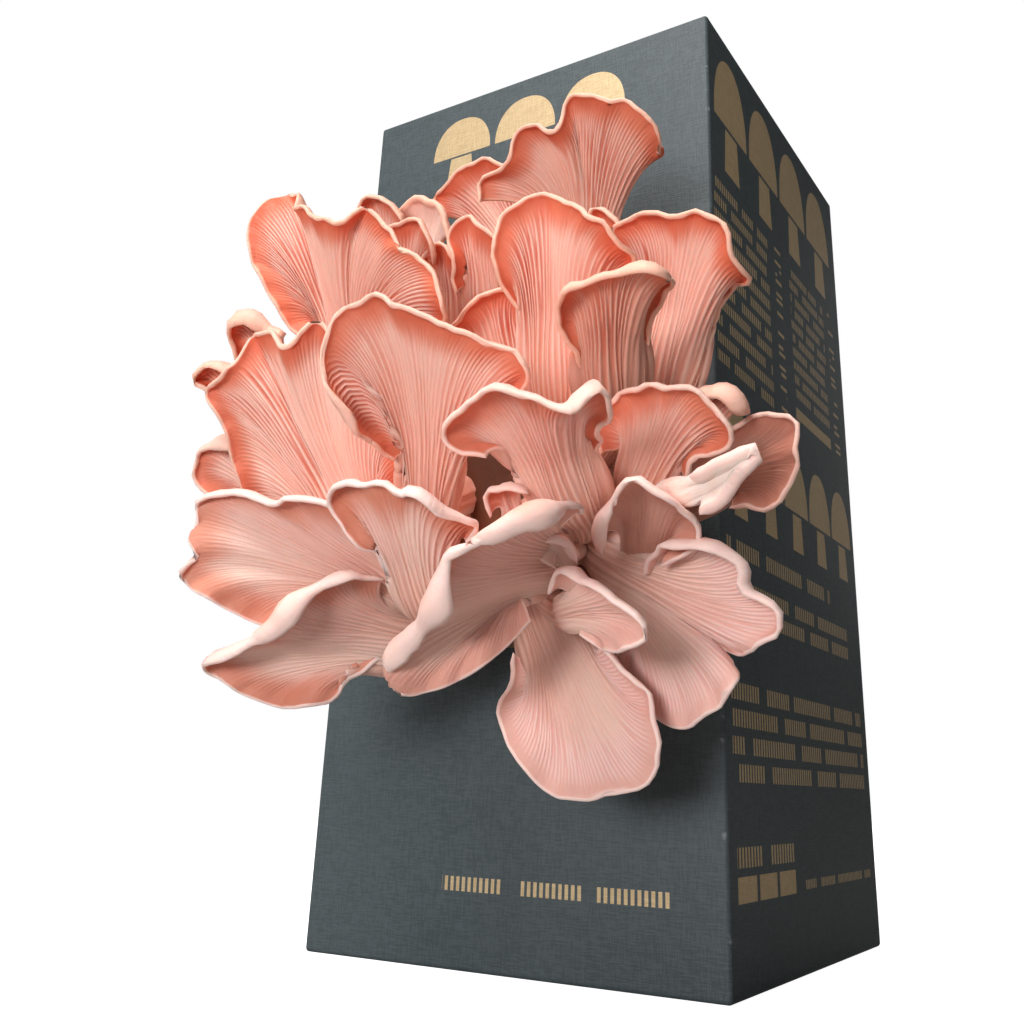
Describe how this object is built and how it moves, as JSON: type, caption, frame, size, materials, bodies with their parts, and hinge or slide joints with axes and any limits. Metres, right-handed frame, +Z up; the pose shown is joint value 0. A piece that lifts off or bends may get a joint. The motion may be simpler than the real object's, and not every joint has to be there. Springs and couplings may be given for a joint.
{
  "type": "oyster mushroom grow kit",
  "caption": "Tall square carton with a bagged grow block inside and a cluster of pink oyster mushrooms growing out of a window in its front.",
  "frame": {"origin": "centre of the carton's flat base, where it stands", "axes": "+Z up along the carton's height, the carton's front with its window and the growth looks along -Y, +X is to the right as the front is seen"},
  "size_m": [0.1696, 0.2304, 0.28],
  "materials": {
    "dark_board": "dark slate paper with a fine linen texture and gold foil motifs, lightly scuffed at its folds",
    "bag_film": "straw substrate with white mycelium behind a translucent film",
    "stem_flesh": null,
    "pink_flesh": null
  },
  "bodies": {
    "root": {"back_fan_mushroom": "pink_flesh", "back_left_mushroom": "pink_flesh", "back_pale_mushroom": "pink_flesh", "bottom_left_mushroom": "pink_flesh", "carton": "dark_board", "centre_fan_mushroom": "pink_flesh", "crest_mushroom": "pink_flesh", "crest_side_mushroom": "pink_flesh", "great_trumpet": "pink_flesh", "grow_block": "bag_film", "hanging_mushroom": "pink_flesh", "high_left_mushroom": "pink_flesh", "left_fan_mushroom": "pink_flesh", "left_high_bud": "pink_flesh", "left_low_bud": "pink_flesh", "left_rear_mushroom": "pink_flesh", "lower_left_mushroom": "pink_flesh", "lower_right_mushroom": "pink_flesh", "middle_knob": "pink_flesh", "pale_finger_mushroom": "pink_flesh", "right_ear_mushroom": "pink_flesh", "right_fan_mushroom": "pink_flesh", "right_rear_mushroom": "pink_flesh", "right_trumpet": "pink_flesh", "rolled_fan_mushroom": "pink_flesh", "side_cup_mushroom": "pink_flesh", "small_middle_mushroom": "pink_flesh", "small_trumpet": "pink_flesh", "stem_clump": "stem_flesh", "upper_bud": "pink_flesh", "upper_right_mushroom": "pink_flesh", "upper_slim_mushroom": "pink_flesh", "upper_sliver_mushroom": "pink_flesh", "upper_trumpet": "pink_flesh", "wedge_mushroom": "pink_flesh", "young_cup_mushroom": "pink_flesh"}
  },
  "joints": []
}
